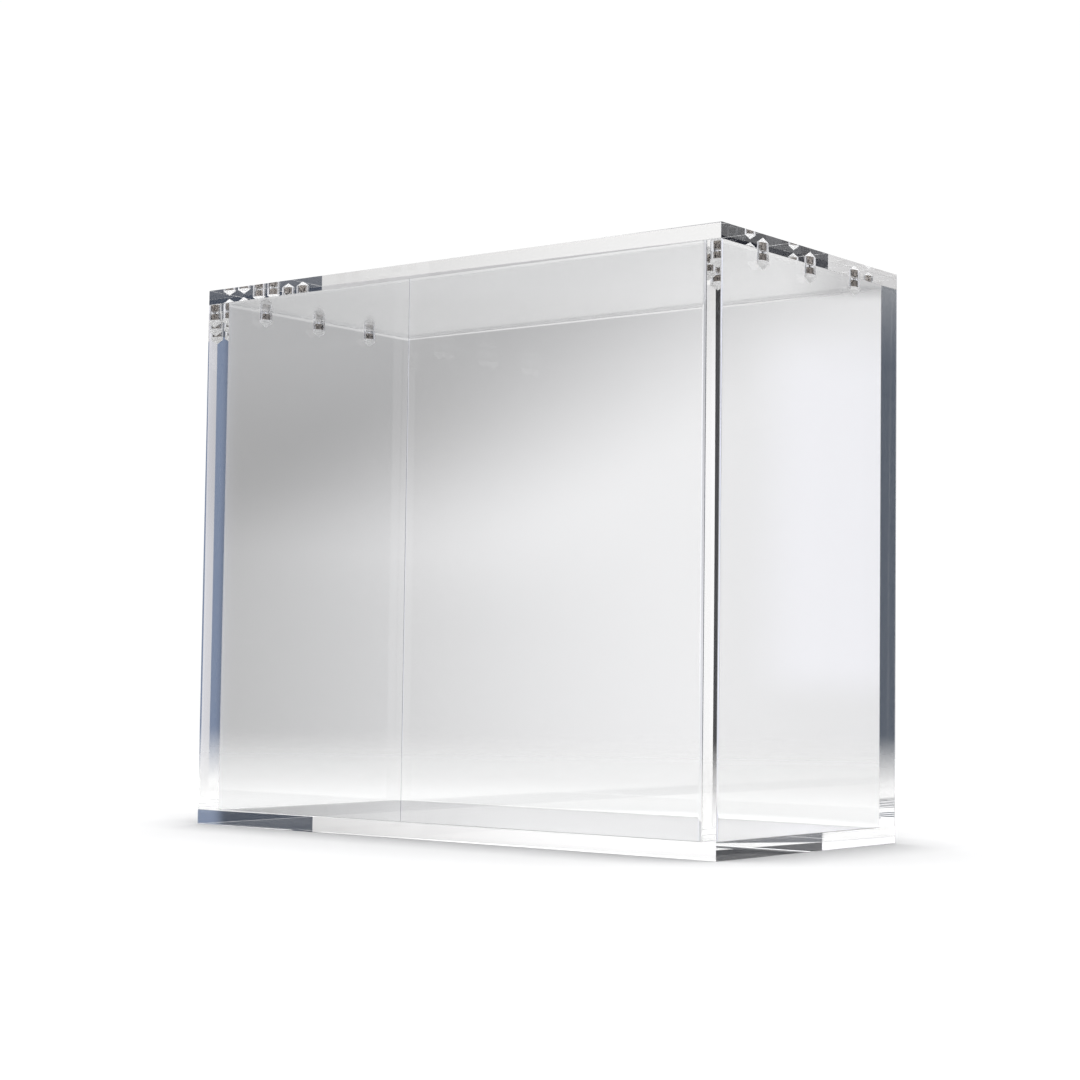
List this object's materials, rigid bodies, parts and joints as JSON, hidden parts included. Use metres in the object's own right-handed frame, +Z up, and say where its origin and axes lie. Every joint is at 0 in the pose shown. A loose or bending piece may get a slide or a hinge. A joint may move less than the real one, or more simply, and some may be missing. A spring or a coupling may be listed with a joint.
{
  "type": "acrylic display case",
  "caption": "Clear rectangular display case with thick side walls and a flat lift-off lid held by small disc magnets sunk in the wall tops.",
  "frame": {"origin": "middle of the footprint, on the surface that the base plate stands on", "axes": "+X to the right along the width, +Y to the back along the depth, +Z up"},
  "size_m": [0.204, 0.1, 0.177],
  "materials": {
    "case_acrylic": "clear cast acrylic, polished faces and edges",
    "lid_acrylic": "clear cast acrylic, polished faces and edges",
    "magnet_nickel": "bright nickel plating"
  },
  "bodies": {
    "case": {"base_plate": "case_acrylic", "front_panel": "case_acrylic", "back_panel": "case_acrylic", "left_panel": "case_acrylic", "right_panel": "case_acrylic", "panel_magnet_left_front": "magnet_nickel", "panel_magnet_left_middle": "magnet_nickel", "panel_magnet_left_back": "magnet_nickel", "panel_magnet_right_front": "magnet_nickel", "panel_magnet_right_middle": "magnet_nickel", "panel_magnet_right_back": "magnet_nickel"},
    "lid": {"lid_plate": "lid_acrylic", "lid_magnet_left_front": "magnet_nickel", "lid_magnet_left_middle": "magnet_nickel", "lid_magnet_left_back": "magnet_nickel", "lid_magnet_right_front": "magnet_nickel", "lid_magnet_right_middle": "magnet_nickel", "lid_magnet_right_back": "magnet_nickel"}
  },
  "joints": [
    {"name": "lid_lift", "type": "slide", "parent": "case", "child": "lid", "axis": [0, 0, 1], "range_m": [0, 0.05]}
  ]
}
